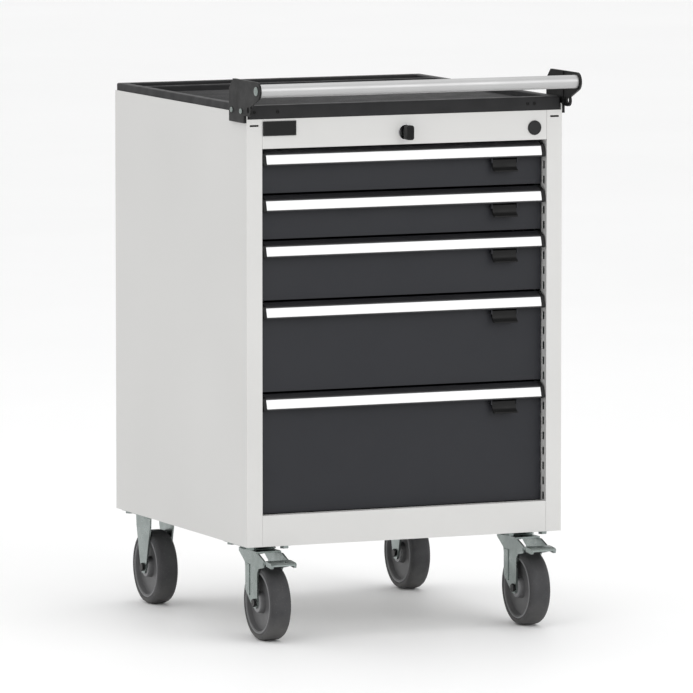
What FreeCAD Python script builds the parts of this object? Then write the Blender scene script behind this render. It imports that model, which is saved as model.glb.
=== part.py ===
import FreeCAD, Part
import os

import Sketcher

# Rolling tool chest: a sheet-steel cabinet on two swivel and two fixed casters, with five
# full-extension drawers, a central lock, a moulded top tray and a push bar.
# Frame: X to the right, the drawer fronts face -Y, Z up, origin on the floor under the middle.

Vector = FreeCAD.Vector
Rotation = FreeCAD.Rotation

DIMENSIONS = (
    # alias, millimetres
    ("width", 564),
    ("depth", 572),
    ("body_bottom", 158),
    ("rail_top", 209),
    ("opening_top", 809),
    ("frame_top", 857.5),
    ("side_top", 868),
    ("tray_top", 880),
    ("sheet", 1.5),
    ("thin_sheet", 1.2),
    ("stile_wide", 27.5),
    ("return_deep", 23),
    ("rear_flange", 15),
    ("slot_pitch", 25),
    ("slot_deep", 9),
    ("slot_high", 13),
    ("first_drawer", 75),
    ("second_drawer", 75),
    ("third_drawer", 100),
    ("fourth_drawer", 150),
    ("fifth_drawer", 200),
    ("front_recess", 18),
    ("front_side_gap", 2),
    ("front_top_gap", 3),
    ("front_flange", 13.5),
    ("tray_half", 239.5),
    ("tray_length", 516.5),
    ("handle_half", 246),
    ("latch_offset", 182),
    ("latch_wide", 43),
    ("rail_height", 45),
    ("rail_start", 34),
    ("rail_length", 500),
    ("bar_radius", 11),
    ("bar_reach", 52),
    ("bar_height", 907),
    ("ring_radius", 15),
    ("bracket_thick", 5),
    ("bracket_joggle", 1.4),
    ("lock_height", 829),
    ("plug_offset", 232),
    ("wheel_radius", 62.5),
    ("wheel_wide", 36),
    ("rim_radius", 52),
    ("axle_radius", 5),
    ("caster_offset", 233),
    ("swivel_depth", 71),
    ("trail", 40),
    ("rear_axle_depth", 518),
    ("plate_thick", 3),
    ("hub_overhang", 1.1),
    ("fork_inside", 19.3),
    ("fork_sheet", 3),
)

DRAWERS = ("first_drawer", "second_drawer", "third_drawer", "fourth_drawer", "fifth_drawer")

doc = FreeCAD.newDocument("RollingToolChest")
sheet = doc.addObject("Spreadsheet::Sheet", "dims")
for row, (alias, value) in enumerate(DIMENSIONS, start=1):
    sheet.set(f"A{row}", alias)
    sheet.set(f"B{row}", str(value))
    sheet.setAlias(f"B{row}", alias)
doc.recompute()


class Dim:
    """A length that carries the sheet expression it is worked out from."""

    def __init__(self, value, text):
        self.value = value
        self.text = text

    def __add__(self, other):
        other = as_dim(other)
        return Dim(self.value + other.value, f"({self.text} + {other.text})")

    def __sub__(self, other):
        other = as_dim(other)
        return Dim(self.value - other.value, f"({self.text} - {other.text})")

    def __mul__(self, factor):
        return Dim(self.value * factor, f"({self.text} * ({factor}))")

    def __truediv__(self, divisor):
        return Dim(self.value / divisor, f"({self.text} / {divisor})")

    def __neg__(self):
        return Dim(-self.value, f"(0 - {self.text})")

    def __radd__(self, other):
        return as_dim(other) + self

    def __rsub__(self, other):
        return as_dim(other) - self


def as_dim(length):
    """A Dim as it is, and a plain number as a Dim of its own value."""
    if isinstance(length, Dim):
        return length
    return Dim(length, f"({length})")


D = {alias: Dim(value, "dims." + alias) for alias, value in DIMENSIONS}

HALF = D["width"] / 2
SHEET = D["sheet"]
THIN = D["thin_sheet"]
FRONT = (D["bar_reach"] + D["ring_radius"] - D["rear_axle_depth"] - D["wheel_radius"]) / 2
BACK = FRONT + D["depth"]
OPENING_HALF = HALF - D["stile_wide"]
INNER_HALF = HALF - SHEET
BACK_FACE = BACK - SHEET * 2
UPRIGHT_FACE = HALF - 29


def bind(target, prop, length):
    """Bind one property of an object to its expression."""
    target.setExpression(prop, as_dim(length).text)


def behind(distance):
    """The Y of a place this far behind the cabinet's front face."""
    return FRONT + distance


# ---------------------------------------------------------------- building blocks

AXIS_TURN = {
    "x": Rotation(Vector(0, 1, 0), 90),
    "y": Rotation(Vector(1, 0, 0), -90),
    "z": Rotation(),
}
TURNED_BODY = {
    "x": Rotation(Vector(0, 0, 1), -90),
    "y": Rotation(),
    "z": Rotation(Vector(1, 0, 0), 90),
}


def block(name, x_span, y_span, z_span):
    """A box between two places on each axis."""
    box = doc.addObject("Part::Box", name)
    spans = (x_span, y_span, z_span)
    for prop, axis, (low, high) in zip(("Length", "Width", "Height"), "xyz", spans):
        bind(box, prop, as_dim(high) - low)
        bind(box, "Placement.Base." + axis, low)
    return box


def place_on_axis(target, axis, across, start):
    """Put a primitive's base at `start` on one axis and at `across` on the other two."""
    places = dict(zip([letter for letter in "xyz" if letter != axis], across))
    places[axis] = start
    for letter, place in places.items():
        bind(target, "Placement.Base." + letter, place)


def rod(name, axis, across, radius, start, end):
    """A round rod along one axis; `across` is its place on the other two axes."""
    cylinder = doc.addObject("Part::Cylinder", name)
    cylinder.Placement = FreeCAD.Placement(Vector(), AXIS_TURN[axis])
    bind(cylinder, "Radius", radius)
    bind(cylinder, "Height", as_dim(end) - start)
    place_on_axis(cylinder, axis, across, start)
    return cylinder


def hexagon(name, axis, across, circumradius, start, end):
    """A hexagonal bar along one axis, as a bolt head or a nut."""
    prism = doc.addObject("Part::Prism", name)
    prism.Placement = FreeCAD.Placement(Vector(), AXIS_TURN[axis])
    prism.Polygon = 6
    bind(prism, "Circumradius", circumradius)
    bind(prism, "Height", as_dim(end) - start)
    place_on_axis(prism, axis, across, start)
    return prism


def origin_plane(body, role):
    """One of a body's own three origin planes."""
    return next(item for item in body.Origin.OriginFeatures if item.Role == role)


def outline_sketch(body, name, role, outline, offset=0):
    """A closed polygon of (u, v) lengths, every corner bound to the sheet."""
    sketch = body.newObject("Sketcher::SketchObject", name)
    sketch.AttachmentSupport = (origin_plane(body, role), [""])
    sketch.MapMode = "FlatFace"
    bind(sketch, "AttachmentOffset.Base.z", offset)
    corners = [(as_dim(u), as_dim(v)) for u, v in outline]
    points = [Vector(u.value, v.value, 0) for u, v in corners]
    for here, there in zip(points, points[1:] + points[:1]):
        sketch.addGeometry(Part.LineSegment(here, there), False)
    count = len(points)
    for index in range(count):
        sketch.addConstraint(Sketcher.Constraint("Coincident", index, 2, (index + 1) % count, 1))
    for index, corner in enumerate(corners):
        for kind, length in zip(("DistanceX", "DistanceY"), corner):
            distance = Sketcher.Constraint(kind, -1, 1, index, 1, length.value)
            number = sketch.addConstraint(distance)
            sketch.setExpression(f"Constraints[{number}]", length.text)
    return sketch


def prism(name, role, outline, start, end):
    """A body padded from an outline: YZ_Plane pads along X, XZ_Plane along Y, XY_Plane along Z."""
    body = doc.addObject("PartDesign::Body", name)
    # The XZ plane's normal points to -Y, so its pad starts at the far end and comes back.
    offset = -as_dim(end) if role == "XZ_Plane" else start
    pad = body.newObject("PartDesign::Pad", name + "_pad")
    pad.Profile = outline_sketch(body, name + "_outline", role, outline, offset)
    bind(pad, "Length", as_dim(end) - start)
    return body


def turned(name, axis, across, start, profile):
    """A body turned about one axis from (radius, distance along from `start`) corners."""
    body = doc.addObject("PartDesign::Body", name)
    body.Placement = FreeCAD.Placement(Vector(), TURNED_BODY[axis])
    place_on_axis(body, axis, across, start)
    revolution = body.newObject("PartDesign::Revolution", name + "_turn")
    sketch = outline_sketch(body, name + "_profile", "XY_Plane", profile)
    revolution.Profile = sketch
    revolution.ReferenceAxis = (sketch, ["V_Axis"])
    revolution.Angle = 360
    return body


def cut(name, base, tools):
    """The base with every tool taken out of it."""
    result = doc.addObject("Part::Cut", name)
    result.Base = base
    result.Tool = tools[0] if len(tools) == 1 else together(name + "_tools", tools)
    return result


def together(name, shapes):
    """Separate shapes kept as one group."""
    group = doc.addObject("Part::Compound", name)
    group.Links = shapes
    return group


def fuse(name, shapes):
    """Shapes joined into one solid."""
    union = doc.addObject("Part::MultiFuse", name)
    union.Shapes = shapes
    union.Refine = True
    return union


def mirror(name, source):
    """The source mirrored to the other side of the chest."""
    twin = doc.addObject("Part::Mirroring", name)
    twin.Source = source
    twin.Normal = Vector(1, 0, 0)
    return twin


def rounded(name, base, radius, picked):
    """The base with a fillet on each edge for which `picked` says yes."""
    doc.recompute()
    fillet = doc.addObject("Part::Fillet", name)
    fillet.Base = base
    edges = enumerate(base.Shape.Edges, start=1)
    fillet.Edges = [(number, radius, radius) for number, edge in edges if picked(edge)]
    return fillet


def is_vertical(edge):
    """True for a straight edge along Z."""
    ends = [vertex.Point for vertex in edge.Vertexes]
    return len(ends) == 2 and (ends[0] - ends[1]).cross(Vector(0, 0, 1)).Length < 0.01


def is_along_depth(edge):
    """True for a straight edge along Y."""
    ends = [vertex.Point for vertex in edge.Vertexes]
    return len(ends) == 2 and (ends[0] - ends[1]).cross(Vector(0, 1, 0)).Length < 0.01


NODES = []


def keep(name, shape):
    """Name a finished sub-part: its label is its file's name."""
    shape.Label = name
    NODES.append(shape)
    return shape


# ---------------------------------------------------------------- cabinet shell


def side_panel():
    """The left side: wall, front stile, slotted return and rear flange in one folded sheet."""
    wall, stile = -HALF, -OPENING_HALF
    flange = wall + D["rear_flange"]
    outline = [
        (wall, FRONT),
        (stile, FRONT),
        (stile, behind(D["return_deep"])),
        (stile - SHEET, behind(D["return_deep"])),
        (stile - SHEET, FRONT + SHEET),
        (wall + SHEET, FRONT + SHEET),
        (wall + SHEET, BACK - SHEET),
        (flange, BACK - SHEET),
        (flange, BACK),
        (wall, BACK),
    ]
    body = prism("side_sheet", "XY_Plane", outline, D["body_bottom"], D["side_top"])
    slot_low = D["rail_top"] + 1
    slot_front = behind(8)
    slot = [
        (slot_front, slot_low),
        (slot_front + D["slot_deep"], slot_low),
        (slot_front + D["slot_deep"], slot_low + D["slot_high"]),
        (slot_front, slot_low + D["slot_high"]),
    ]
    pocket = body.newObject("PartDesign::Pocket", "return_slot")
    pocket.Profile = outline_sketch(body, "return_slot_outline", "YZ_Plane", slot, stile + 1)
    bind(pocket, "Length", SHEET + 2)
    pattern = body.newObject("PartDesign::LinearPattern", "return_slots")
    pattern.Originals = [pocket]
    pattern.Direction = (pocket.Profile[0], ["V_Axis"])
    pattern.Occurrences = 24
    bind(pattern, "Length", D["slot_pitch"] * 23)
    body.Tip = pattern
    # Only the wall itself stands up beside the top tray.
    above = block(
        "above_frame", (-INNER_HALF, 0), (FRONT - 1, BACK + 1), (D["frame_top"], D["side_top"] + 1)
    )
    slit_middle = -HALF + 13.5
    slit = block(
        "stile_slit", (slit_middle - 7.75, slit_middle + 7.75), (FRONT - 1, FRONT + 5), (845.5, 848.5)
    )
    return cut("left_side", body, [above, slit])


def base_pan(bolt_places):
    """The floor sheet, folded up at the front as the bottom rail and up at the back."""
    bottom, top = D["body_bottom"], D["rail_top"]
    lip = behind(16)
    outline = [
        (FRONT, bottom),
        (BACK_FACE, bottom),
        (BACK_FACE, bottom + 20),
        (BACK_FACE - SHEET, bottom + 20),
        (BACK_FACE - SHEET, bottom + SHEET),
        (FRONT + SHEET, bottom + SHEET),
        (FRONT + SHEET, top - SHEET),
        (lip, top - SHEET),
        (lip, top),
        (FRONT, top),
    ]
    rail_half = OPENING_HALF - 0.3
    pan = prism("pan_sheet", "YZ_Plane", outline, -rail_half, rail_half)
    floor = block(
        "pan_floor", (-INNER_HALF, INNER_HALF), (behind(24), BACK_FACE), (bottom, bottom + SHEET)
    )
    holes = [
        rod(f"pan_hole_{number}", "z", place, 4.5, bottom - 1, bottom + 4)
        for number, place in enumerate(bolt_places, start=1)
    ]
    return cut("pan", fuse("pan_solid", [pan, floor]), holes)


def lock_rail():
    """The top rail between the stiles, with round holes for the lock and the blanking plug."""
    low, high = D["opening_top"], D["frame_top"]
    lip = behind(25)
    outline = [
        (FRONT, low),
        (lip, low),
        (lip, low + SHEET),
        (FRONT + SHEET, low + SHEET),
        (FRONT + SHEET, high - SHEET),
        (lip, high - SHEET),
        (lip, high),
        (FRONT, high),
    ]
    rail_half = OPENING_HALF - 0.3
    rail = prism("rail_sheet", "YZ_Plane", outline, -rail_half, rail_half)
    lock_hole = rod("lock_hole", "y", (0, D["lock_height"]), 10, FRONT - 1, FRONT + 5)
    plug_hole = rod("plug_hole", "y", (D["plug_offset"], D["lock_height"]), 10, FRONT - 1, FRONT + 5)
    return cut("rail", rail, [lock_hole, plug_hole])


def back_panel():
    """The rear sheet, with two guides that keep the locking bar upright."""
    panel = block(
        "back_sheet",
        (-INNER_HALF, INNER_HALF),
        (BACK_FACE, BACK_FACE + SHEET),
        (D["body_bottom"], D["frame_top"]),
    )
    guides = [
        block(f"bar_guide_{height}", (-40, 12), (behind(560), BACK_FACE), (height, height + 24))
        for height in (300, 640)
    ]
    return fuse("back", [panel, *guides])


TRAY_RIM_WIDE = 16
RECESS_DEEP = 12
TROUGH_DEEP = 16
TROUGH_LONG = 90
TROUGH_WALL = 10


def top_tray():
    """The moulded top: a shallow tray with a rounded rim and a small-parts trough at the back."""
    half = INNER_HALF - 0.3
    low, high = D["frame_top"], D["tray_top"]
    slab = block("tray_slab", (-half, half), (FRONT, BACK), (low, high))
    soft_slab = rounded("tray_soft_slab", slab, 5, is_vertical)
    recess_front = FRONT + TRAY_RIM_WIDE
    trough_front = BACK - TROUGH_LONG
    across = (-half + TRAY_RIM_WIDE, half - TRAY_RIM_WIDE)
    recess = block(
        "tray_recess",
        across,
        (recess_front, trough_front - TROUGH_WALL),
        (high - RECESS_DEEP, high + 1),
    )
    trough = block(
        "tray_trough", across, (trough_front, BACK - TRAY_RIM_WIDE), (high - TROUGH_DEEP, high + 1)
    )
    pockets = [
        rounded("recess_soft", recess, 8, is_vertical),
        rounded("trough_soft", trough, 8, is_vertical),
    ]
    hollow = cut("tray_hollow", soft_slab, pockets)

    def on_rim(edge):
        middle = edge.BoundBox.Center
        flat = edge.BoundBox.ZLength < 0.01
        return flat and abs(middle.z - high.value) < 0.01

    return rounded("tray_soft_rim", hollow, 2.5, on_rim)


def slide_uprights():
    """Four C-section posts inside the side walls, which carry the drawer slides."""
    inner = UPRIGHT_FACE
    posts = []
    for place, start in (("front", 45), ("rear", 500)):
        low, high = behind(start), behind(start + 30)
        outline = [
            (inner, low),
            (INNER_HALF, low),
            (INNER_HALF, low + SHEET),
            (inner + SHEET, low + SHEET),
            (inner + SHEET, high - SHEET),
            (INNER_HALF, high - SHEET),
            (INNER_HALF, high),
            (inner, high),
        ]
        bottom = D["body_bottom"] + SHEET
        post = prism(f"{place}_post", "XY_Plane", outline, bottom, D["frame_top"])
        posts += [post, mirror(f"{place}_post_twin", post)]
    return together("posts", posts)


keep("left_side_panel", side_panel())
keep("right_side_panel", mirror("right_side", NODES[0]))
keep("lock_rail", lock_rail())
keep("back_panel", back_panel())
keep("top_tray", top_tray())
keep("slide_uprights", slide_uprights())

# ---------------------------------------------------------------- slides


def channel(name, inside, outside, half_high, middle, web_outside):
    """A slide member: a C section with 1.2 mm walls, its web on the outer or the inner side."""
    high, low = middle + half_high, middle - half_high
    web, tip = (outside, inside) if web_outside else (inside, outside)
    web_inner = web - THIN if web_outside else web + THIN
    outline = [
        (web, low),
        (web, high),
        (tip, high),
        (tip, high - THIN),
        (web_inner, high - THIN),
        (web_inner, low + THIN),
        (tip, low + THIN),
        (tip, low),
    ]
    start = behind(D["rail_start"])
    return prism(name, "XZ_Plane", outline, start, start + D["rail_length"])


def pair(name, member):
    """A slide member and its twin on the other side."""
    return together(name, [member, mirror(name + "_twin", member)])


def rail_middle(bottom):
    """The height of a drawer's slides above its own bottom line."""
    return bottom + 36


# ---------------------------------------------------------------- drawers


TRAY_BOTTOM_GAP = 6
TRAY_TOP_GAP = 14
HEM = 8


def drawer_tray(tag, bottom, top):
    """The open box with a turned-in hem, a runner welded on each side and a lock lug."""
    half = D["tray_half"]
    start = behind(D["front_recess"] + SHEET)
    end = start + D["tray_length"]
    low, high = bottom + TRAY_BOTTOM_GAP, top - TRAY_TOP_GAP
    outer = block(f"{tag}_box", (-half, half), (start, end), (low, high))
    inner = block(
        f"{tag}_inside",
        (-half + THIN, half - THIN),
        (start + THIN, end - THIN),
        (low + THIN, high - THIN),
    )
    mouth = block(
        f"{tag}_mouth",
        (-half + HEM, half - HEM),
        (start + HEM, end - HEM),
        (high - THIN - 1, high + 1),
    )
    shell = cut(f"{tag}_shell", outer, [inner, mouth])
    middle = rail_middle(bottom)
    runner = channel(f"{tag}_runner", half, half + 9.5, 16.5, middle, False)
    lug = block(f"{tag}_lug", (14, 17), (end, end + 12), (middle - 5, middle + 5))
    lip = block(f"{tag}_lug_lip", (4, 17), (end + 10, end + 12), (middle - 5, middle + 5))
    return fuse(f"{tag}_tray", [shell, runner, mirror(f"{tag}_runner_twin", runner), lug, lip])


def drawer_front(tag, bottom, top):
    """The front: a pressed pan with folded edges and two ears that carry the latch pin."""
    half = OPENING_HALF - D["front_side_gap"]
    face = behind(D["front_recess"])
    low, high = bottom + 1, top - D["front_top_gap"]
    deep = face + D["front_flange"]
    outer = block(f"{tag}_pan", (-half, half), (face, deep), (low, high))
    inner = block(
        f"{tag}_pan_inside",
        (-half + SHEET, half - SHEET),
        (face + SHEET, deep + 1),
        (low + SHEET, high - SHEET),
    )
    pan = cut(f"{tag}_pan_shell", outer, [inner])
    pivot_depth, pivot_height = latch_pivot(top)
    ears = []
    for side, sign in (("left", -1), ("right", 1)):
        inner_face = D["latch_offset"] + (D["latch_wide"] / 2 + 0.4) * sign
        outer_face = inner_face + 2 * sign
        span = (outer_face, inner_face) if sign < 0 else (inner_face, outer_face)
        height = (pivot_height - 4, pivot_height + 4)
        ears.append(block(f"{tag}_{side}_ear", span, (pivot_depth - 4, face), height))
    solid = fuse(f"{tag}_eared", [pan, *ears])
    reach = D["latch_wide"] / 2 + 5
    bore = rod(
        f"{tag}_ear_bore",
        "x",
        (pivot_depth, pivot_height),
        LATCH_PIN_RADIUS + 0.05,
        D["latch_offset"] - reach,
        D["latch_offset"] + reach,
    )
    return cut(f"{tag}_front", solid, [bore])


LATCH_DEPTH = 11.5
LATCH_DROP = 33
LATCH_PIN_RADIUS = 1.5
LATCH_BARREL_RADIUS = 3.2


def latch_pivot(top):
    """The latch pin's place: its Y and Z under a drawer's top line."""
    return behind(LATCH_DEPTH), top - LATCH_DROP


# The grip's section: distance behind the front face, height under the drawer's top line.
HANDLE_SECTION = (
    (18, -3),
    (6.6, -8.4),
    (5.6, -9.6),
    (0.6, -26),
    (0.6, -28),
    (5, -28),
    (5, -26),
    (2.7, -26),
    (7.5, -10.6),
    (16, -6.3),
    (16, -24),
    (18, -24),
)


def drawer_handle(tag, top):
    """The full-width grip: a sloped top, a face leaning back for the label, and a turned-in lip."""
    outline = [(behind(depth), top + height) for depth, height in HANDLE_SECTION]
    return prism(f"{tag}_handle", "YZ_Plane", outline, -D["handle_half"], D["handle_half"])


# The latch paddle's section, measured from its pin: straight down, then curved forward.
LATCH_SECTION = (
    (3, 0),
    (1.5, -9),
    (-2, -14),
    (-8.5, -18.5),
    (-10.5, -18),
    (-10.5, -16.2),
    (-5, -12.5),
    (-2.6, -8),
    (-3, 0),
)


def drawer_latch(tag, top):
    """The one-hand latch paddle, its lower edge curved forward, on its own pin."""
    depth, height = latch_pivot(top)
    outline = [(depth + along, height + up) for along, up in LATCH_SECTION]
    half = D["latch_wide"] / 2
    middle = D["latch_offset"]
    paddle = prism(f"{tag}_paddle", "YZ_Plane", outline, middle - half, middle + half)
    barrel = rod(f"{tag}_barrel", "x", (depth, height), LATCH_BARREL_RADIUS, middle - half, middle + half)
    reach = half + 2.4
    pin = rod(f"{tag}_pin", "x", (depth, height), LATCH_PIN_RADIUS, middle - reach, middle + reach)
    return fuse(f"{tag}_latch", [paddle, barrel, pin])


drawer_top = D["opening_top"]
drawer_middles = []
cabinet_members = []
for number, alias in enumerate(DRAWERS, start=1):
    tag = f"drawer_{number}"
    drawer_bottom = drawer_top - D[alias]
    middle = rail_middle(drawer_bottom)
    drawer_middles.append(middle)
    keep(f"{tag}_tray", drawer_tray(tag, drawer_bottom, drawer_top))
    keep(f"{tag}_front", drawer_front(tag, drawer_bottom, drawer_top))
    keep(f"{tag}_handle", drawer_handle(tag, drawer_top))
    keep(f"{tag}_latch", drawer_latch(tag, drawer_top))
    mid_inside = D["tray_half"] + 3.7
    mid_member = channel(f"{tag}_mid", mid_inside, mid_inside + 8, 19.8, middle, True)
    keep(f"{tag}_mid_rails", pair(f"{tag}_mid_pair", mid_member))
    cabinet_inside = D["tray_half"] + 4
    cabinet_member = channel(
        f"{tag}_cabinet", cabinet_inside, UPRIGHT_FACE, D["rail_height"] / 2, middle, True
    )
    cabinet_members += [cabinet_member, mirror(f"{tag}_cabinet_twin", cabinet_member)]
    drawer_top = drawer_bottom
keep("cabinet_rails", together("cabinet_rail_set", cabinet_members))

# ---------------------------------------------------------------- lock

KEY_BOW_WIDE = 12.6
KEY_BOW_TALL = 24
KEY_BOW_CORNER = 4
KEY_GROOVES = (-3.5, 0, 3.5)
KEY_GROOVE_HALF = 0.7
CAM_PIN_RADIUS = 2
CAM_THROW = 5


ROSETTE_RADIUS = 13
LOCK_BARREL_RADIUS = 9.8
LOCK_BORE_RADIUS = 7
LOCK_BARREL_LENGTH = 22
LOCK_NUT_THICK = 4


def lock_body():
    """The lock's barrel with its rosette and, behind the rail, its ring nut."""
    profile = [
        (LOCK_BORE_RADIUS, -2),
        (ROSETTE_RADIUS, -2),
        (ROSETTE_RADIUS, 0),
        (LOCK_BARREL_RADIUS, 0),
        (LOCK_BARREL_RADIUS, LOCK_BARREL_LENGTH),
        (LOCK_BORE_RADIUS, LOCK_BARREL_LENGTH),
    ]
    centre = (0, D["lock_height"])
    barrel = turned("lock_barrel", "y", centre, FRONT, profile)
    nut_back = FRONT + SHEET + LOCK_NUT_THICK
    nut = rod("lock_nut", "y", centre, ROSETTE_RADIUS, FRONT + SHEET, nut_back)
    nut_hole = rod("lock_nut_hole", "y", centre, LOCK_BARREL_RADIUS, FRONT, nut_back + 2)
    return fuse("lock", [barrel, cut("lock_ring_nut", nut, [nut_hole])])


def lock_key():
    """The key with its ribbed bow, and the lock plug, cam and cam pin that turn with it."""
    height = D["lock_height"]
    centre = (0, height)
    half_wide, half_tall = KEY_BOW_WIDE / 2, KEY_BOW_TALL / 2
    bow = block(
        "key_bow",
        (-half_wide, half_wide),
        (behind(-21), behind(-7)),
        (height - half_tall, height + half_tall),
    )
    soft_bow = rounded("key_soft_bow", bow, KEY_BOW_CORNER, is_along_depth)
    grooves = [
        block(
            f"bow_groove_{number}",
            (place - KEY_GROOVE_HALF, place + KEY_GROOVE_HALF),
            (behind(-22), behind(-20)),
            (height - 9, height + 9),
        )
        for number, place in enumerate(KEY_GROOVES, start=1)
    ]
    neck = rod("key_neck", "y", centre, 5, behind(-8), behind(-1))
    plug = rod("lock_plug", "y", centre, 6.95, behind(-1.5), behind(24))
    cam = rod("lock_cam", "y", centre, 10.5, behind(24), behind(27))
    pin_place = (-CAM_THROW, height + CAM_THROW)
    pin = rod("cam_pin", "y", pin_place, CAM_PIN_RADIUS, behind(26), behind(36))
    return fuse("key", [cut("key_ribbed_bow", soft_bow, grooves), neck, plug, cam, pin])


def lock_bar():
    """The locking bar: a front plate on the cam pin, a rear strip and one hook per drawer."""
    height = D["lock_height"]
    plate = block("bar_plate", (-13, 3), (behind(30), behind(33)), (height - 3, height + 15))
    slot = block("bar_slot", (-7.6, -2.4), (behind(29), behind(34)), (height + 1.5, height + 10))
    slotted = cut("bar_slotted_plate", plate, [slot])
    run = block("bar_run", (-16, -13), (behind(30), behind(559)), (height - 9, height + 11))
    lowest = drawer_middles[-1] - 8
    strip = block("bar_strip", (-26, -11), (behind(556), behind(559)), (lowest, height + 11))
    hooks = []
    for number, middle in enumerate(drawer_middles, start=1):
        span = (middle - 4, middle + 4)
        arm = block(f"hook_arm_{number}", (-14, -11), (behind(541), behind(557)), span)
        tip = block(f"hook_tip_{number}", (-14, 1), (behind(541), behind(543.5)), span)
        hooks += [arm, tip]
    return fuse("bar", [slotted, run, strip, *hooks])


keep("lock_body", lock_body())
keep("lock_key", lock_key())
keep("lock_bar", lock_bar())

# ---------------------------------------------------------------- trim, push bar


def nameplate():
    """The blank plate stuck on the lock rail."""
    plate = block("plate_blank", (-253.5, -195), (FRONT - 1.5, FRONT), (830, 854))
    return rounded("plate_soft", plate, 2, is_along_depth)


def blanking_plug():
    """The round plug that closes the spare hole in the lock rail."""
    profile = [(0, -3), (10.5, -3), (12, -1.5), (12, 0), (9.8, 0), (9.8, 8), (0, 8)]
    return turned("plug", "y", (D["plug_offset"], D["lock_height"]), FRONT, profile)


# The bracket plate's outline: distance behind the front face, height above the floor.
BRACKET_OUTLINE = (
    (62, 852),
    (0, 852),
    (0, 864),
    (-18, 864),
    (-26, 868),
    (-28, 874),
    (-26.5, 879.5),
    (-59, 893.5),
    (-52, 907),
    (-52, 922),
    (46, 922),
    (62, 906),
)
BRACKET_HOLE = (-18, 874)
BRACKET_SCREWS = ((11, 871), (50, 871))
RIM_SCREWS = (-268, -227, 220, 232)
RIM_SCREW_HEIGHT = 869
BAR_BOLT_RADIUS = 4
BAR_BOLT_FIT = BAR_BOLT_RADIUS + 0.1
BAR_BOLT_HEAD = (7.5, 2.2)
BAR_BOLT_REACH = 16
BAR_PLUG_LONG = 25
LOBE_RADIUS = 10
HANG_HOLE_RADIUS = 5
BRACKET_SCREW_HEAD = (4.5, 2.5)
BRACKET_SCREW_RADIUS = 2.5
RIM_SCREW_HEAD = (3, 1.2)


def push_bar_bracket():
    """The left bracket: a plate on the side wall that reaches forward to the bar's end."""
    bar = (behind(-D["bar_reach"]), D["bar_height"])
    hole = (behind(BRACKET_HOLE[0]), BRACKET_HOLE[1])
    outer, inner = -HALF - D["bracket_thick"], -HALF
    outline = [(behind(depth), height) for depth, height in BRACKET_OUTLINE]
    plate = prism("bracket_plate", "YZ_Plane", outline, outer, inner)
    nose = rod("bracket_nose", "x", bar, D["ring_radius"], outer, inner)
    lobe = rod("bracket_lobe", "x", hole, LOBE_RADIUS, outer, inner)
    joggle = block(
        "bracket_step", (inner - D["bracket_joggle"], inner + 1), (behind(-70), behind(-3)), (850, 930)
    )
    holes = [
        rod("bracket_hang_hole", "x", hole, HANG_HOLE_RADIUS, outer - 1, inner + 1),
        rod("bracket_bar_hole", "x", bar, BAR_BOLT_FIT, outer - 1, inner + 1),
    ]
    holes += [
        rod(f"bracket_hole_{number}", "x", (behind(depth), height), 2.6, outer - 1, inner + 1)
        for number, (depth, height) in enumerate(BRACKET_SCREWS, start=1)
    ]
    return cut("bracket", fuse("bracket_solid", [plate, nose, lobe]), [joggle, *holes])


def handle_bar():
    """The push bar: a round tube with a threaded plug in each end."""
    centre = (behind(-D["bar_reach"]), D["bar_height"])
    end = HALF + D["bracket_joggle"]
    inside = D["bar_radius"] - 2
    tube = rod("bar_tube", "x", centre, D["bar_radius"], -end, end)
    hollow = rod("bar_hollow", "x", centre, inside, -end - 1, end + 1)
    plug = rod("bar_plug", "x", centre, inside, -end, -end + BAR_PLUG_LONG)
    thread = rod("bar_thread", "x", centre, BAR_BOLT_FIT, -end - 1, -end + BAR_PLUG_LONG + 1)
    bored_plug = cut("bar_bored_plug", plug, [thread])
    bar = fuse("bar_with_plug", [cut("push_bar", tube, [hollow]), bored_plug])
    return fuse("bar_with_plugs", [bar, mirror("bar_far_plug", bored_plug)])


def cover_screws():
    """The bolts in the bar's ends, the bracket screws and the screws in the tray's front edge."""
    outer = -HALF - D["bracket_thick"]
    bar = (behind(-D["bar_reach"]), D["bar_height"])
    head_radius, head_thick = BAR_BOLT_HEAD
    bolt_head = rod("bar_bolt_head", "x", bar, head_radius, outer - head_thick, outer)
    bolt_end = -HALF + BAR_BOLT_REACH
    bolt_shank = rod("bar_bolt_shank", "x", bar, BAR_BOLT_RADIUS, outer - 1, bolt_end)
    left_screws = [fuse("bar_bolt", [bolt_head, bolt_shank])]
    head_radius, head_thick = BRACKET_SCREW_HEAD
    for number, (depth, height) in enumerate(BRACKET_SCREWS, start=1):
        place = (behind(depth), height)
        tag = f"bracket_screw_{number}"
        head = rod(f"{tag}_head", "x", place, head_radius, outer - head_thick, outer)
        shank = rod(f"{tag}_shank", "x", place, BRACKET_SCREW_RADIUS, outer - 1, -HALF)
        left_screws.append(fuse(tag, [head, shank]))
    screws = list(left_screws)
    for number, screw in enumerate(left_screws, start=1):
        screws.append(mirror(f"right_screw_{number}", screw))
    for number, place in enumerate(RIM_SCREWS, start=1):
        middle = (place, RIM_SCREW_HEIGHT)
        radius, thick = RIM_SCREW_HEAD
        screws.append(rod(f"rim_screw_{number}", "y", middle, radius, FRONT - thick, FRONT))
    return together("screws", screws)


keep("nameplate", nameplate())
keep("blanking_plug", blanking_plug())
keep("left_handle_bracket", push_bar_bracket())
keep("right_handle_bracket", mirror("right_bracket", NODES[-1]))
keep("handle_bar", handle_bar())
keep("cover_screws", cover_screws())

# ---------------------------------------------------------------- casters

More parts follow.
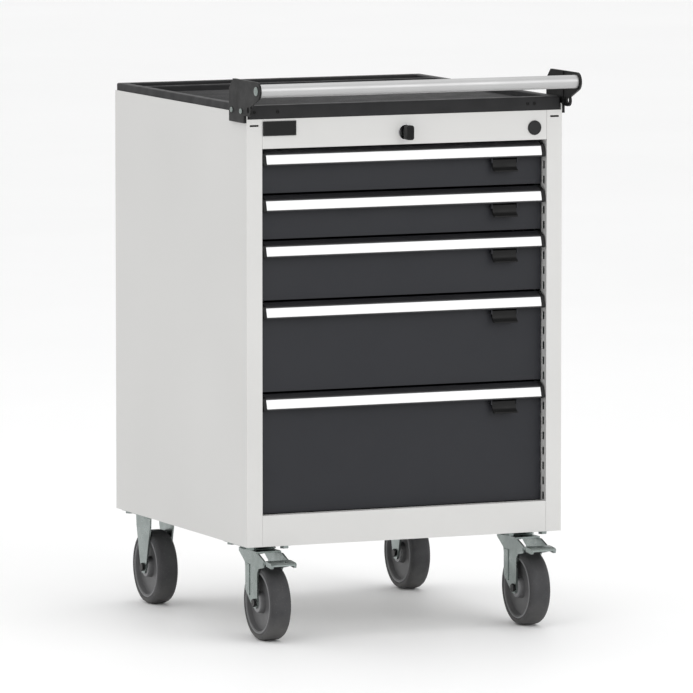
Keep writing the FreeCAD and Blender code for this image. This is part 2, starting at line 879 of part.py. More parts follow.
SIDES = (("left", -D["caster_offset"]), ("right", D["caster_offset"]))
PLATE_UNDER = D["body_bottom"] - D["plate_thick"]
SWIVEL_Y = behind(D["swivel_depth"])
FRONT_AXLE_Y = SWIVEL_Y - D["trail"]
REAR_AXLE_Y = behind(D["rear_axle_depth"])
AXLE_Z = D["wheel_radius"]
PEDAL_Y = SWIVEL_Y - 75
PEDAL_Z = 130
PEDAL_HALF = D["fork_inside"] - 0.4
CROWN_TOP = PLATE_UNDER - 8
FORK_HALF = D["fork_inside"] + D["fork_sheet"]


def ahead(distance):
    """The Y of a place this far in front of a front caster's swivel axis."""
    return SWIVEL_Y - distance


def bolt_places(middle_x, middle_y):
    """The four bolts of one caster plate."""
    return [(middle_x + dx, middle_y + dy) for dx in (-30, 30) for dy in (-40, 40)]


def all_bolt_places():
    """The sixteen caster bolts."""
    places = []
    for _, side in SIDES:
        places += bolt_places(side, SWIVEL_Y) + bolt_places(side, REAR_AXLE_Y)
    return places


def drilled_plate(tag, middle_x, middle_y):
    """A caster's top plate with its four bolt holes."""
    plate = block(
        f"{tag}_plate",
        (middle_x - 42, middle_x + 42),
        (middle_y - 51, middle_y + 51),
        (PLATE_UNDER, D["body_bottom"]),
    )
    soft = rounded(f"{tag}_soft_plate", plate, 6, is_vertical)
    holes = [
        rod(f"{tag}_plate_hole_{number}", "z", place, 4.5, PLATE_UNDER - 1, D["body_bottom"] + 1)
        for number, place in enumerate(bolt_places(middle_x, middle_y), start=1)
    ]
    return cut(f"{tag}_drilled_plate", soft, holes)


def swivel_plate(tag, middle_x):
    """A swivel caster's fixed half: the plate, the bearing cup and the king pin with its head."""
    plate = drilled_plate(tag, middle_x, SWIVEL_Y)
    pin_profile = [
        (0, 0),
        (9, 0),
        (9, 4.5),
        (6, 4.5),
        (6, 9.5),
        (30, 9.5),
        (26, 17),
        (0, 17),
    ]
    pin = turned(f"{tag}_king_pin", "z", (middle_x, SWIVEL_Y), PLATE_UNDER - 17, pin_profile)
    return fuse(f"{tag}_swivel_plate", [plate, pin])


def hollow_fork(name, outer, middle_x, low, high, depths):
    """A leg outline's prism with the room for the wheel taken out between the legs."""
    room = block(
        name + "_room",
        (middle_x - D["fork_inside"], middle_x + D["fork_inside"]),
        depths,
        (low, high),
    )
    return cut(name + "_legs", outer, [room])


# A swivel fork's leg: distance in front of the swivel axis, height above the floor.
SWIVEL_LEG = (
    (-28, CROWN_TOP),
    (46, CROWN_TOP),
    (76, 136),
    (81, 130),
    (76, 124),
    (55, 120),
    (49, 112),
    (49, 60),
    (45, 54),
    (40, 52.5),
    (31, 54),
    (1, 78),
    (1, 112),
    (-3, 126),
    (-28, 141),
)


def swivel_fork(tag, middle_x):
    """A swivel fork: crown, two legs, the ears that hold the pedal, and the pedal's rivet."""
    outline = [(ahead(distance), height) for distance, height in SWIVEL_LEG]
    legs = prism(f"{tag}_leg_block", "YZ_Plane", outline, middle_x - FORK_HALF, middle_x + FORK_HALF)
    crown_under = CROWN_TOP - D["fork_sheet"]
    fork = hollow_fork(f"{tag}_fork", legs, middle_x, 40, crown_under, (ahead(111), ahead(-39)))
    bore = rod(f"{tag}_pin_bore", "z", (middle_x, SWIVEL_Y), 6.05, crown_under - 1, CROWN_TOP + 1)
    axle_bore = rod(
        f"{tag}_axle_bore",
        "x",
        (FRONT_AXLE_Y, AXLE_Z),
        D["axle_radius"],
        middle_x - FORK_HALF - 1,
        middle_x + FORK_HALF + 1,
    )
    rivet = rod(
        f"{tag}_rivet",
        "x",
        (PEDAL_Y, PEDAL_Z),
        2.5,
        middle_x - FORK_HALF - 1.5,
        middle_x + FORK_HALF + 1.5,
    )
    nose = block(
        f"{tag}_nose",
        (middle_x - FORK_HALF, middle_x + FORK_HALF),
        (ahead(111), ahead(46)),
        (crown_under, CROWN_TOP + 1),
    )
    open_legs = cut(f"{tag}_bored_fork", fork, [bore, axle_bore, nose])
    return fuse(f"{tag}_fork_solid", [open_legs, rivet])


# A fixed fork's leg: distance in front of the axle, height above the floor.
FIXED_LEG = (
    (32, PLATE_UNDER),
    (30, 132),
    (12, 62),
    (6, 52),
    (-6, 52),
    (-12, 62),
    (-30, 132),
    (-32, PLATE_UNDER),
)


def fixed_fork(tag, middle_x):
    """A fixed caster: its plate and two tapering legs."""
    plate = drilled_plate(tag, middle_x, REAR_AXLE_Y)
    outline = [(REAR_AXLE_Y - distance, height) for distance, height in FIXED_LEG]
    legs = prism(f"{tag}_leg_block", "YZ_Plane", outline, middle_x - FORK_HALF, middle_x + FORK_HALF)
    depths = (REAR_AXLE_Y - 40, REAR_AXLE_Y + 40)
    crown_under = PLATE_UNDER - D["fork_sheet"]
    fork = hollow_fork(f"{tag}_fork", legs, middle_x, 40, crown_under, depths)
    axle_bore = rod(
        f"{tag}_axle_bore",
        "x",
        (REAR_AXLE_Y, AXLE_Z),
        D["axle_radius"],
        middle_x - FORK_HALF - 1,
        middle_x + FORK_HALF + 1,
    )
    return fuse(f"{tag}_fixed_fork", [plate, cut(f"{tag}_bored_fork", fork, [axle_bore])])


# The pedal's pad and its turned-down sides: distance in front of the swivel axis, height from
# the rivet.
PEDAL_PAD = ((74, 4.4), (86, 6.5), (106, 4.5), (110, 2), (110, -0.5), (106, 2), (86, 4), (77, 1))
PEDAL_SIDE = ((84, 6.4), (106, 4.5), (110, 2), (108, -4), (88, -2))


def brake_pedal(tag, middle_x):
    """A brake pedal: a sleeve on the rivet and a wide tread plate with turned-down sides."""
    low, high = middle_x - PEDAL_HALF, middle_x + PEDAL_HALF
    sleeve = rod(f"{tag}_sleeve", "x", (PEDAL_Y, PEDAL_Z), 4.5, low, high)
    pad = [(ahead(distance), PEDAL_Z + up) for distance, up in PEDAL_PAD]
    arm = prism(f"{tag}_arm", "YZ_Plane", pad, low, high)
    flanges = []
    for side, sign in (("left", -1), ("right", 1)):
        inner_face = middle_x + 18 * sign
        outer_face = middle_x + 22.5 * sign
        span = (outer_face, inner_face) if sign < 0 else (inner_face, outer_face)
        flange = [(ahead(distance), PEDAL_Z + up) for distance, up in PEDAL_SIDE]
        flanges.append(prism(f"{tag}_{side}_flange", "YZ_Plane", flange, *span))
    solid = fuse(f"{tag}_pedal_solid", [sleeve, arm, *flanges])
    bore = rod(f"{tag}_sleeve_bore", "x", (PEDAL_Y, PEDAL_Z), 2.55, middle_x - 25, middle_x + 25)
    return cut(f"{tag}_pedal", solid, [bore])


def wheel_rim(tag, middle_x, axle_y):
    """A moulded rim: hub, thin web and an outer band that carries the tread."""
    half = D["wheel_wide"] / 2
    hub = half + D["hub_overhang"]
    bore = D["axle_radius"] + 0.05
    rim = D["rim_radius"]
    profile = [
        (bore, -hub),
        (14, -hub),
        (17, -half + 3),
        (18, -9),
        (rim - 7, -9),
        (rim - 5, -half + 1),
        (rim, -half + 1),
        (rim, half - 1),
        (rim - 5, half - 1),
        (rim - 7, 9),
        (18, 9),
        (17, half - 3),
        (14, hub),
        (bore, hub),
    ]
    return turned(f"{tag}_rim", "x", (axle_y, AXLE_Z), middle_x, profile)


def wheel_tread(tag, middle_x, axle_y):
    """A solid rubber tyre with rounded shoulders."""
    half = D["wheel_wide"] / 2
    rim, radius = D["rim_radius"], D["wheel_radius"]
    profile = [
        (rim, -half + 1),
        (rim + 2, -half),
        (radius - 6, -half),
        (radius - 3, -half + 1.2),
        (radius - 1, -half + 4),
        (radius, -half + 9),
        (radius, half - 9),
        (radius - 1, half - 4),
        (radius - 3, half - 1.2),
        (radius - 6, half),
        (rim + 2, half),
        (rim, half - 1),
    ]
    return turned(f"{tag}_tread", "x", (axle_y, AXLE_Z), middle_x, profile)


def wheel_axle(tag, middle_x, axle_y):
    """An axle bolt through both legs, with a thin hexagon head and nut."""
    centre = (axle_y, AXLE_Z)
    low, high = middle_x - FORK_HALF, middle_x + FORK_HALF
    shank = rod(f"{tag}_shank", "x", centre, D["axle_radius"], low - 3, high + 4.5)
    head = hexagon(f"{tag}_head", "x", centre, 7, low - 4, low)
    nut = hexagon(f"{tag}_nut", "x", centre, 7, high, high + 4)
    return fuse(f"{tag}_axle", [shank, head, nut])


def caster_bolts():
    """The bolts that hold the four plates, heads below and nuts on the floor sheet."""
    bolts = []
    floor = D["body_bottom"] + SHEET
    for number, place in enumerate(all_bolt_places(), start=1):
        tag = f"caster_bolt_{number}"
        head = hexagon(f"{tag}_head", "z", place, 7.5, PLATE_UNDER - 5, PLATE_UNDER)
        shank = rod(f"{tag}_shank", "z", place, 4, PLATE_UNDER - 2, floor + 9)
        nut = hexagon(f"{tag}_nut", "z", place, 7.5, floor, floor + 6.5)
        bolts.append(fuse(tag, [head, shank, nut]))
    return together("bolts", bolts)


keep("base_pan", base_pan(all_bolt_places()))
swivel_plates = []
rear_forks = []
rear_axle_set = []
for side, middle_x in SIDES:
    front_tag, rear_tag = f"front_{side}", f"rear_{side}"
    swivel_plates.append(swivel_plate(front_tag, middle_x))
    rear_forks.append(fixed_fork(rear_tag, middle_x))
    rear_axle_set.append(wheel_axle(rear_tag, middle_x, REAR_AXLE_Y))
    keep(f"{front_tag}_fork", swivel_fork(front_tag, middle_x))
    keep(f"{front_tag}_pedal", brake_pedal(front_tag, middle_x))
    keep(f"{front_tag}_axle", wheel_axle(front_tag, middle_x, FRONT_AXLE_Y))
    for tag, axle_y in ((front_tag, FRONT_AXLE_Y), (rear_tag, REAR_AXLE_Y)):
        keep(f"{tag}_rim", wheel_rim(tag, middle_x, axle_y))
        keep(f"{tag}_tread", wheel_tread(tag, middle_x, axle_y))
keep("front_caster_plates", together("swivel_plate_pair", swivel_plates))
keep("rear_caster_forks", together("fixed_fork_pair", rear_forks))
keep("rear_axles", together("rear_axle_pair", rear_axle_set))
keep("caster_bolts", caster_bolts())

# ---------------------------------------------------------------- check and write

doc.recompute()
for item in doc.Objects:
    if "Invalid" in item.State or "Error" in item.State:
        raise RuntimeError(f"{item.Name} failed: {item.State}")

os.makedirs("parts", exist_ok=True)
for node in NODES:
    if node.Shape.isNull() or not node.Shape.isValid():
        raise RuntimeError(f"{node.Label} has no valid shape")
    node.Shape.exportStep(f"parts/{node.Label}.step")
    print(f"{node.Label}: {len(node.Shape.Solids)} solids, {node.Shape.Volume / 1000:.1f} cm3")
print(len(NODES), "nodes")
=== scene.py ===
import math

import bmesh
import bpy
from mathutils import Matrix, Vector


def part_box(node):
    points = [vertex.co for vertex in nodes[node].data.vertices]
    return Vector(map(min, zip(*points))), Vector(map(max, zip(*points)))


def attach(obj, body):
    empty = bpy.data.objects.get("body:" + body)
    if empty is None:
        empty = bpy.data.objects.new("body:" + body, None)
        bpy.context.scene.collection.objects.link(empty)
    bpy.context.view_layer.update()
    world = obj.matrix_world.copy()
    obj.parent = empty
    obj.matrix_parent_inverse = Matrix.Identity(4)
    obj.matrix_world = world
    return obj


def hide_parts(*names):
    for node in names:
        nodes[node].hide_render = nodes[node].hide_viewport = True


# Rolling tool chest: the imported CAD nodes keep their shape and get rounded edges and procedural
# materials here; trim that the CAD leaves out is built as mesh pieces that ride on its bodies.
# Frame: metres, X to the right, the drawer fronts face -Y, Z up, origin on the floor.

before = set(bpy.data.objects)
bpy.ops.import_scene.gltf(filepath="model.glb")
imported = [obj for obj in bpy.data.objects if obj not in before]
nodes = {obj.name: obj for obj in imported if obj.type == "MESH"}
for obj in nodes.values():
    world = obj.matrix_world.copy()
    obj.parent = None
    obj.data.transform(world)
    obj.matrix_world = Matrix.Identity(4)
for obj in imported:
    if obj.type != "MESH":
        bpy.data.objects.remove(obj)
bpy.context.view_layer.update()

MM = 0.001
DRAWERS = range(1, 6)
WHEELS = ("front_left", "front_right", "rear_left", "rear_right")

# Joins flatter than FLAT_ANGLE are merged and ones sharper than SHARP_ANGLE are rounded (degrees).
FLAT_ANGLE = 0.6
SHARP_ANGLE = 35
WELD_DISTANCE = 0.00002

# The range that most of a noise field's values fall in.
NOISE_LOW = 0.3
NOISE_HIGH = 0.7

# How well a rounded normal agrees with the flat one: where an edge starts, and at its strongest.
EDGE_STARTS = 0.99
EDGE_FULL = 0.86

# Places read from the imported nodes.
STILE_LOW, STILE_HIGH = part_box("left_side_panel")
FRONT = STILE_LOW.y
BACK = STILE_HIGH.y
TRAY_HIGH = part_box("top_tray")[1]
BRACKET_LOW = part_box("left_handle_bracket")[0]


def centre_of(node):
    """The middle of a CAD node's box."""
    low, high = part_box(node)
    return (low + high) / 2


def behind(distance):
    """The Y of a place this many millimetres behind the cabinet's front face."""
    return FRONT + distance * MM


# ---------------------------------------------------------------- materials


class Surface:
    """A Principled material whose colour, roughness and bump are worked out by nodes."""

    def __init__(self, name, colour, roughness, metallic=0.0):
        self.material = bpy.data.materials.new(name)
        self.material.use_nodes = True
        self.tree = self.material.node_tree
        self.shader = self.tree.nodes["Principled BSDF"]
        self.shader.inputs["Metallic"].default_value = metallic
        self.coordinates = self.node("ShaderNodeTexCoord").outputs["Object"]
        self.colour = self.rgb(colour)
        self.base_roughness = roughness
        self.roughness = None
        self.normal = None

    def node(self, kind):
        return self.tree.nodes.new(kind)

    def link(self, output, socket):
        self.tree.links.new(output, socket)

    def rgb(self, colour):
        """A constant colour as an output, for mixing."""
        constant = self.node("ShaderNodeRGB")
        constant.outputs[0].default_value = (*colour, 1)
        return constant.outputs[0]

    def noise(self, scale, detail=2.0, roughness=0.5, stretch=(1, 1, 1)):
        """A noise field in object space; `scale` is in waves per metre."""
        mapping = self.node("ShaderNodeMapping")
        mapping.inputs["Scale"].default_value = stretch
        self.link(self.coordinates, mapping.inputs["Vector"])
        texture = self.node("ShaderNodeTexNoise")
        texture.inputs["Scale"].default_value = scale
        texture.inputs["Detail"].default_value = detail
        texture.inputs["Roughness"].default_value = roughness
        self.link(mapping.outputs[0], texture.inputs["Vector"])
        return texture.outputs["Fac"]

    def spread(self, field, low, high, to_low=0.0, to_high=1.0):
        """The field's range low to high, spread over to_low to to_high."""
        ranged = self.node("ShaderNodeMapRange")
        ranged.inputs["From Min"].default_value = low
        ranged.inputs["From Max"].default_value = high
        ranged.inputs["To Min"].default_value = to_low
        ranged.inputs["To Max"].default_value = to_high
        self.link(field, ranged.inputs["Value"])
        return ranged.outputs[0]

    def times(self, first, second):
        """The product of two fields."""
        product = self.node("ShaderNodeMath")
        product.operation = "MULTIPLY"
        self.link(first, product.inputs[0])
        self.link(second, product.inputs[1])
        return product.outputs[0]

    def blend_colour(self, field, colour):
        """Mix another colour in where the field is high."""
        mix = self.node("ShaderNodeMix")
        mix.data_type = "RGBA"
        self.link(field, mix.inputs["Factor"])
        self.link(self.colour, mix.inputs["A"])
        self.link(self.rgb(colour), mix.inputs["B"])
        self.colour = mix.outputs["Result"]
        return self

    def mottle(self, scale, amount, stretch=(1, 1, 1)):
        """Slow light and dark clouds in the colour, `amount` each way."""
        field = self.noise(scale, 4.0, 0.6, stretch)
        value = self.spread(field, NOISE_LOW, NOISE_HIGH, 1 - amount, 1 + amount)
        scaled = self.node("ShaderNodeVectorMath")
        scaled.operation = "SCALE"
        self.link(self.colour, scaled.inputs[0])
        self.link(value, scaled.inputs["Scale"])
        self.colour = scaled.outputs[0]
        return self

    def vary_roughness(self, scale, amount, stretch=(1, 1, 1)):
        """Roughness that wanders about its base value."""
        field = self.noise(scale, 3.0, 0.55, stretch)
        low, high = self.base_roughness - amount, self.base_roughness + amount
        self.roughness = self.spread(field, NOISE_LOW, NOISE_HIGH, low, high)
        return self

    def bump(self, scale, depth, stretch=(1, 1, 1), detail=2.0):
        """Raise the surface by a noise field; `depth` is in millimetres."""
        bump = self.node("ShaderNodeBump")
        bump.inputs["Distance"].default_value = depth * MM
        self.link(self.noise(scale, detail, 0.5, stretch), bump.inputs["Height"])
        if self.normal is not None:
            self.link(self.normal, bump.inputs["Normal"])
        self.normal = bump.outputs["Normal"]
        return self

    def edge_mask(self, radius):
        """High within about `radius` millimetres of a sharp edge."""
        bevel = self.node("ShaderNodeBevel")
        bevel.samples = 4
        bevel.inputs["Radius"].default_value = radius * MM
        plain = self.node("ShaderNodeNewGeometry")
        product = self.node("ShaderNodeVectorMath")
        product.operation = "DOT_PRODUCT"
        self.link(bevel.outputs[0], product.inputs[0])
        self.link(plain.outputs["Normal"], product.inputs[1])
        return self.spread(product.outputs["Value"], EDGE_STARTS, EDGE_FULL)

    def worn_edges(self, radius, colour, strength):
        """Edges rubbed to another colour, in patches."""
        patches = self.spread(self.noise(90, 5.0, 0.7), 0.42, 0.62, 0.15, 1.0)
        mask = self.times(self.edge_mask(radius), patches)
        return self.blend_colour(self.spread(mask, 0, 1, 0, strength), colour)

    def specks(self, scale, low, high, colour, strength):
        """Small marks of another colour where a fine noise peaks."""
        field = self.noise(scale, 1.0, 0.4)
        return self.blend_colour(self.spread(field, low, high, 0, strength), colour)

    def floor_dust(self, height, colour, strength):
        """A dusty tint that fades out `height` metres above the floor."""
        split = self.node("ShaderNodeSeparateXYZ")
        self.link(self.coordinates, split.inputs[0])
        level = self.spread(split.outputs["Z"], 0.0, height, strength, 0.0)
        patches = self.spread(self.noise(30, 4.0, 0.6), 0.35, 0.65, 0.4, 1.0)
        return self.blend_colour(self.times(level, patches), colour)

    def shine(self, level):
        """How strongly the plain surface reflects; 0.5 is ordinary plastic or paint."""
        self.shader.inputs["Specular IOR Level"].default_value = level
        return self

    def coat(self, weight, roughness):
        """A clear coat over the colour."""
        self.shader.inputs["Coat Weight"].default_value = weight
        self.shader.inputs["Coat Roughness"].default_value = roughness
        return self

    def done(self):
        """Link what was made and return the material."""
        self.link(self.colour, self.shader.inputs["Base Color"])
        if self.roughness is None:
            self.shader.inputs["Roughness"].default_value = self.base_roughness
        else:
            self.link(self.roughness, self.shader.inputs["Roughness"])
        if self.normal is not None:
            self.link(self.normal, self.shader.inputs["Normal"])
        return self.material


def powder_coat(name, colour, worn, roughness, shine=0.5):
    """Oven-baked paint: a fine orange peel, faint clouds, edges rubbed lighter."""
    surface = Surface(name, colour, roughness).shine(shine)
    surface.mottle(3.5, 0.025).vary_roughness(14, 0.05)
    surface.bump(650, 0.035).bump(120, 0.02)
    surface.specks(900, 0.74, 0.80, worn, 0.25)
    surface.worn_edges(0.9, worn, 0.4)
    return surface.done()


def zinc_plate(name, colour, roughness):
    """Bright zinc: faint rolling lines and cloudy, slightly blue-green patches."""
    surface = Surface(name, colour, roughness, metallic=1.0)
    surface.mottle(26, 0.13).vary_roughness(60, 0.09)
    clouds = surface.spread(surface.noise(18, 3.0), 0.5, 0.72, 0, 0.5)
    surface.blend_colour(clouds, (0.20, 0.235, 0.215))
    surface.bump(420, 0.03, stretch=(1, 0.12, 1))
    surface.worn_edges(0.8, (0.62, 0.65, 0.64), 0.5)
    return surface.done()


def moulded(name, colour, roughness, grain=0.05, worn=(0.16, 0.16, 0.165), shine=0.5):
    """Moulded plastic: an eroded grain and slightly polished edges."""
    surface = Surface(name, colour, roughness).shine(shine)
    surface.mottle(9, 0.08).vary_roughness(40, 0.07)
    surface.bump(1500, grain).bump(260, 0.02)
    surface.worn_edges(0.8, worn, 0.35)
    return surface.done()


def rubber():
    """Grey non-marking rubber: matt, dusty near the floor, with faint rolling scuffs."""
    surface = Surface("tread_rubber", (0.040, 0.040, 0.042), 0.74)
    surface.mottle(28, 0.10).vary_roughness(50, 0.1)
    surface.specks(420, 0.64, 0.74, (0.08, 0.08, 0.079), 0.5)
    surface.bump(900, 0.07).bump(120, 0.05)
    surface.worn_edges(1.5, (0.10, 0.10, 0.10), 0.5)
    surface.floor_dust(0.05, (0.17, 0.165, 0.155), 0.45)
    return surface.done()


def ribbed_rubber():
    """Matt black mat rubber with a talc bloom."""
    surface = Surface("mat_rubber", (0.018, 0.018, 0.019), 0.66)
    surface.mottle(12, 0.12).vary_roughness(30, 0.08)
    surface.specks(260, 0.62, 0.78, (0.06, 0.06, 0.06), 0.35)
    surface.bump(1300, 0.06)
    surface.worn_edges(0.6, (0.07, 0.07, 0.07), 0.5)
    return surface.done()


def satin_tube():
    """Satin anodised tube: fine drawing lines along its length, rubbed where hands go."""
    surface = Surface("satin_tube", (0.46, 0.46, 0.46), 0.40, metallic=0.75)
    surface.mottle(7, 0.03).vary_roughness(11, 0.06)
    surface.bump(900, 0.02, stretch=(0.03, 1, 1))
    surface.specks(500, 0.72, 0.8, (0.36, 0.36, 0.36), 0.3)
    surface.worn_edges(0.8, (0.62, 0.62, 0.62), 0.4)
    return surface.done()


def bright_chrome():
    """Polished plating with faint hairlines."""
    surface = Surface("bright_chrome", (0.66, 0.66, 0.67), 0.14, metallic=1.0)
    surface.mottle(60, 0.04).vary_roughness(120, 0.05)
    surface.bump(1400, 0.008, stretch=(0.2, 1, 1))
    return surface.done()


def label_white():
    """White label card under a clear cover: a trace of paper tone and a soft gloss."""
    surface = Surface("label_white", (0.86, 0.86, 0.865), 0.32)
    surface.mottle(14, 0.012).vary_roughness(40, 0.05)
    surface.bump(500, 0.01)
    surface.worn_edges(0.4, (0.62, 0.62, 0.62), 0.35)
    surface.coat(0.3, 0.12)
    return surface.done()


LIGHT_PAINT = powder_coat(
    "light_powder_coat", (0.60, 0.597, 0.585), worn=(0.70, 0.697, 0.685), roughness=0.45
)
DARK_PAINT = powder_coat(
    "anthracite_powder_coat",
    (0.015, 0.016, 0.020),
    worn=(0.060, 0.062, 0.068),
    roughness=0.50,
    shine=0.32,
)
HANDLE_PAINT = moulded(
    "handle_profile", (0.014, 0.014, 0.016), 0.45, grain=0.02, worn=(0.06, 0.06, 0.062)
)
DARK_PLASTIC = moulded(
    "tray_plastic", (0.012, 0.012, 0.013), 0.58, worn=(0.05, 0.05, 0.052), shine=0.3
)
BLACK_PLASTIC = moulded(
    "black_plastic", (0.006, 0.006, 0.006), 0.48, worn=(0.03, 0.03, 0.03), shine=0.22
)
BLACK_STEEL = powder_coat(
    "black_oxide", (0.008, 0.008, 0.008), worn=(0.05, 0.05, 0.05), roughness=0.40, shine=0.35
)
RIM_PLASTIC = moulded("rim_plastic", (0.10, 0.10, 0.102), 0.45, worn=(0.20, 0.20, 0.205))
ZINC = zinc_plate("zinc_plate", (0.27, 0.305, 0.295), 0.30)
RUBBER = rubber()
MAT = ribbed_rubber()
TUBE = satin_tube()
CHROME = bright_chrome()
LABEL = label_white()
BEAD = moulded("rim_bead", (0.20, 0.20, 0.205), 0.35, grain=0.01, worn=(0.3, 0.3, 0.3))

# ---------------------------------------------------------------- carried CAD nodes


def dress(name, material, edge):
    """Give a CAD node its material and round its sharp edges; its own mesh stays as packed."""
    node = nodes[name]
    node.data.materials.clear()
    node.data.materials.append(material)
    node.data.shade_smooth()
    weld = node.modifiers.new("weld", "WELD")
    weld.merge_threshold = WELD_DISTANCE
    merge = node.modifiers.new("merge_flats", "DECIMATE")
    merge.decimate_type = "DISSOLVE"
    merge.angle_limit = math.radians(FLAT_ANGLE)
    bevel = node.modifiers.new("edges", "BEVEL")
    bevel.width = edge * MM
    bevel.segments = 2
    bevel.limit_method = "ANGLE"
    bevel.angle_limit = math.radians(SHARP_ANGLE)
    bevel.use_clamp_overlap = True
    bevel.harden_normals = True
    shade = node.modifiers.new("shade", "WEIGHTED_NORMAL")
    shade.keep_sharp = True
    shade.weight = 100


FINISHES = (
    # nodes, material, edge radius in millimetres
    (("left_side_panel", "right_side_panel", "lock_rail"), LIGHT_PAINT, 0.5),
    (("base_pan", "back_panel"), LIGHT_PAINT, 0.5),
    (("slide_uprights", "cabinet_rails", "lock_bar"), ZINC, 0.3),
    (("top_tray",), DARK_PLASTIC, 0.8),
    (("lock_body",), CHROME, 0.5),
    (("lock_key", "nameplate"), BLACK_PLASTIC, 0.5),
    (("blanking_plug",), DARK_PLASTIC, 0.4),
    (("left_handle_bracket", "right_handle_bracket"), BLACK_PLASTIC, 0.8),
    (("handle_bar",), TUBE, 0.4),
    (("front_caster_plates", "rear_caster_forks", "caster_bolts"), ZINC, 0.5),
    (("front_left_fork", "front_right_fork", "front_left_pedal", "front_right_pedal"), ZINC, 0.7),
    (("front_left_axle", "front_right_axle", "rear_axles"), BLACK_STEEL, 0.6),
)
for names, material, edge in FINISHES:
    for name in names:
        dress(name, material, edge)
for number in DRAWERS:
    dress(f"drawer_{number}_tray", DARK_PAINT, 0.35)
    dress(f"drawer_{number}_front", DARK_PAINT, 0.7)
    dress(f"drawer_{number}_handle", HANDLE_PAINT, 0.5)
    dress(f"drawer_{number}_latch", BLACK_PLASTIC, 0.5)
    dress(f"drawer_{number}_mid_rails", ZINC, 0.3)
for wheel in WHEELS:
    dress(f"{wheel}_rim", RIM_PLASTIC, 0.6)
    dress(f"{wheel}_tread", RUBBER, 0.8)

# ---------------------------------------------------------------- mesh helpers


def piece(name, mesh, material, body, bevel=0.0, segments=2):
    """Turn a bmesh into a finished piece that rides on a body."""
    bmesh.ops.recalc_face_normals(mesh, faces=mesh.faces)
    data = bpy.data.meshes.new(name)
    mesh.to_mesh(data)
    mesh.free()
    data.materials.append(material)
    data.shade_smooth()
    made = bpy.data.objects.new(name, data)
    bpy.context.scene.collection.objects.link(made)
    if bevel:
        rounding = made.modifiers.new("edges", "BEVEL")
        rounding.width = bevel * MM
        rounding.segments = segments
        rounding.limit_method = "ANGLE"
        rounding.angle_limit = math.radians(SHARP_ANGLE)
        rounding.harden_normals = True
    shade = made.modifiers.new("shade", "WEIGHTED_NORMAL")
    shade.weight = 100
    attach(made, body)
    return made


def extrude_along_x(mesh, outline, start, end):
    """A closed prism of (y, z) corners from one X to another."""
    first = [mesh.verts.new((start, y, z)) for y, z in outline]
    last = [mesh.verts.new((end, y, z)) for y, z in outline]
    mesh.faces.new(first)
    mesh.faces.new(last)
    count = len(outline)
    for index in range(count):
        following = (index + 1) % count
        mesh.faces.new((first[index], first[following], last[following], last[index]))


def turn_profile(mesh, centre, axis, profile, steps=48):
    """A closed solid turned about an axis through `centre` from (radius, along) corners."""
    axis = Vector(axis).normalized()
    side = axis.orthogonal().normalized()
    up = axis.cross(side)
    rings = []
    for radius, along in profile:
        middle = Vector(centre) + axis * along
        if radius < 1e-6:
            rings.append([mesh.verts.new(middle)])
            continue
        ring = []
        for step in range(steps):
            angle = 2 * math.pi * step / steps
            out = side * math.cos(angle) + up * math.sin(angle)
            ring.append(mesh.verts.new(middle + out * radius))
        rings.append(ring)
    if profile[0] == profile[-1]:
        bmesh.ops.delete(mesh, geom=rings.pop(), context="VERTS")
        rings.append(rings[0])
    for near, far in zip(rings, rings[1:]):
        for step in range(steps):
            following = (step + 1) % steps
            corners = [near[step % len(near)], near[following % len(near)]]
            corners += [far[following % len(far)], far[step % len(far)]]
            unique = list(dict.fromkeys(corners))
            if len(unique) > 2:
                mesh.faces.new(unique)


def torus(mesh, centre, axis, radius, thickness, steps=64, sides=12):
    """A ring of round wire about an axis."""
    axis = Vector(axis).normalized()
    side = axis.orthogonal().normalized()
    up = axis.cross(side)
    loops = []
    for step in range(steps):
        angle = 2 * math.pi * step / steps
        out = side * math.cos(angle) + up * math.sin(angle)
        loop = []
        for turn in range(sides):
            around = 2 * math.pi * turn / sides
            reach = radius + thickness * math.cos(around)
            offset = out * reach + axis * thickness * math.sin(around)
            loop.append(mesh.verts.new(Vector(centre) + offset))
        loops.append(loop)
    for here, there in zip(loops, loops[1:] + loops[:1]):
        for turn in range(sides):
            following = (turn + 1) % sides
            mesh.faces.new((here[turn], here[following], there[following], there[turn]))


# ---------------------------------------------------------------- drawer trim

HANDLE_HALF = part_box("drawer_1_handle")[1].x
CAP_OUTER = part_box("drawer_1_front")[1].x

# Sections of the trim, as (behind the front face, above the drawer's top line) in millimetres.
LABEL_FACE = ((5.6, -9.6), (0.6, -26))
CAP_SECTION = (
    (17.8, -2.6),
    (6.2, -7.9),
    (4.9, -9.4),
    (-0.3, -26.0),
    (-0.3, -28.6),
    (5.5, -28.8),
    (8.0, -27.4),
    (17.8, -25.6),
)
DRAWER_GAP = 3
LABEL_GAP = 0.1
CAP_GAP = 0.05

# The label strip, as (share of the face from its top, height off it in millimetres).
UPPER_BEAD = ((0.085, 0.0), (0.085, 0.55), (0.10, 0.8), (0.12, 0.75), (0.14, 0.5))
LOWER_BEAD = ((0.92, 0.5), (0.94, 0.75), (0.96, 0.8), (0.98, 0.55), (0.98, 0.0))
CROWN_START = 0.14
CROWN_LENGTH = 0.78
CROWN_EDGE = 0.5
CROWN_RISE = 0.3
CROWN_STEPS = 8

# One rib of a mat, as (share of the pitch, share of the rib's height).
RIB_SECTION = (
    (0.0, 0.0),
    (0.18, 0.0),
    (0.3, 0.75),
    (0.42, 1.0),
    (0.58, 1.0),
    (0.7, 0.75),
    (0.82, 0.0),
)

# The drawer mats: half their width in metres, the rest in millimetres.
DRAWER_MAT_HALF = 0.2375
DRAWER_MAT_FRONT = 3
DRAWER_MAT_BACK = 533
DRAWER_MAT_LIFT = 1.25


def drawer_top(number):
    """The height of a drawer's top line: its front starts a gap below it."""
    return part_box(f"drawer_{number}_front")[1].z + DRAWER_GAP * MM


